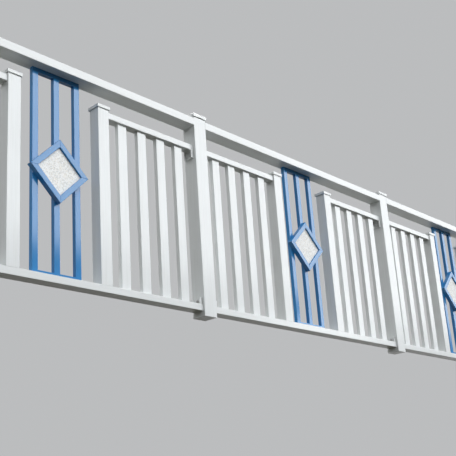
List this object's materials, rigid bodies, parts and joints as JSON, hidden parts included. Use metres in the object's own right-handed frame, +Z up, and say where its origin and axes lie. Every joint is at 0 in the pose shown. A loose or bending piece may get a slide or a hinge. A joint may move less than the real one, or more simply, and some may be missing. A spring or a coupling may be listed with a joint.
{
  "type": "balcony railing",
  "caption": "Painted timber balcony railing in whole bays: slatted panels beside blue barred ornaments with a lapped diamond, under one handrail between main posts.",
  "frame": {"origin": "centre of the foot face of the first main post, on the deck's edge", "axes": "+X along the railing towards the last main post, +Y in towards the balcony, +Z up"},
  "size_m": [5.073, 0.09, 1.044],
  "materials": {
    "white_paint": "gloss white paint on planed timber",
    "blue_paint": "gloss blue paint on planed timber",
    "speckled_panel": "matt off-white board with fine grey and buff stone chips",
    "bracket_metal": "light grey painted pressed steel"
  },
  "bodies": {
    "root": {"balusters_1": "white_paint", "balusters_2": "white_paint", "balusters_3": "white_paint", "balusters_4": "white_paint", "balusters_5": "white_paint", "balusters_6": "white_paint", "bottom_rail_1": "white_paint", "bottom_rail_2": "white_paint", "bottom_rail_3": "white_paint", "diamond_frame_1": "blue_paint", "diamond_frame_2": "blue_paint", "diamond_frame_3": "blue_paint", "diamond_panel_1": "speckled_panel", "diamond_panel_2": "speckled_panel", "diamond_panel_3": "speckled_panel", "handrail_1": "white_paint", "handrail_2": "white_paint", "handrail_3": "white_paint", "main_post_1": "white_paint", "main_post_2": "white_paint", "main_post_3": "white_paint", "main_post_4": "white_paint", "main_post_caps": "white_paint", "mid_rail_1": "white_paint", "mid_rail_2": "white_paint", "mid_rail_3": "white_paint", "mid_rail_4": "white_paint", "mid_rail_5": "white_paint", "mid_rail_6": "white_paint", "ornament_grid_1": "blue_paint", "ornament_grid_2": "blue_paint", "ornament_grid_3": "blue_paint", "rail_brackets_1": "bracket_metal", "rail_brackets_2": "bracket_metal", "rail_brackets_3": "bracket_metal", "short_post_1": "white_paint", "short_post_2": "white_paint", "short_post_3": "white_paint", "short_post_4": "white_paint", "short_post_5": "white_paint", "short_post_6": "white_paint", "short_post_caps_1": "white_paint", "short_post_caps_2": "white_paint", "short_post_caps_3": "white_paint"}
  },
  "joints": []
}
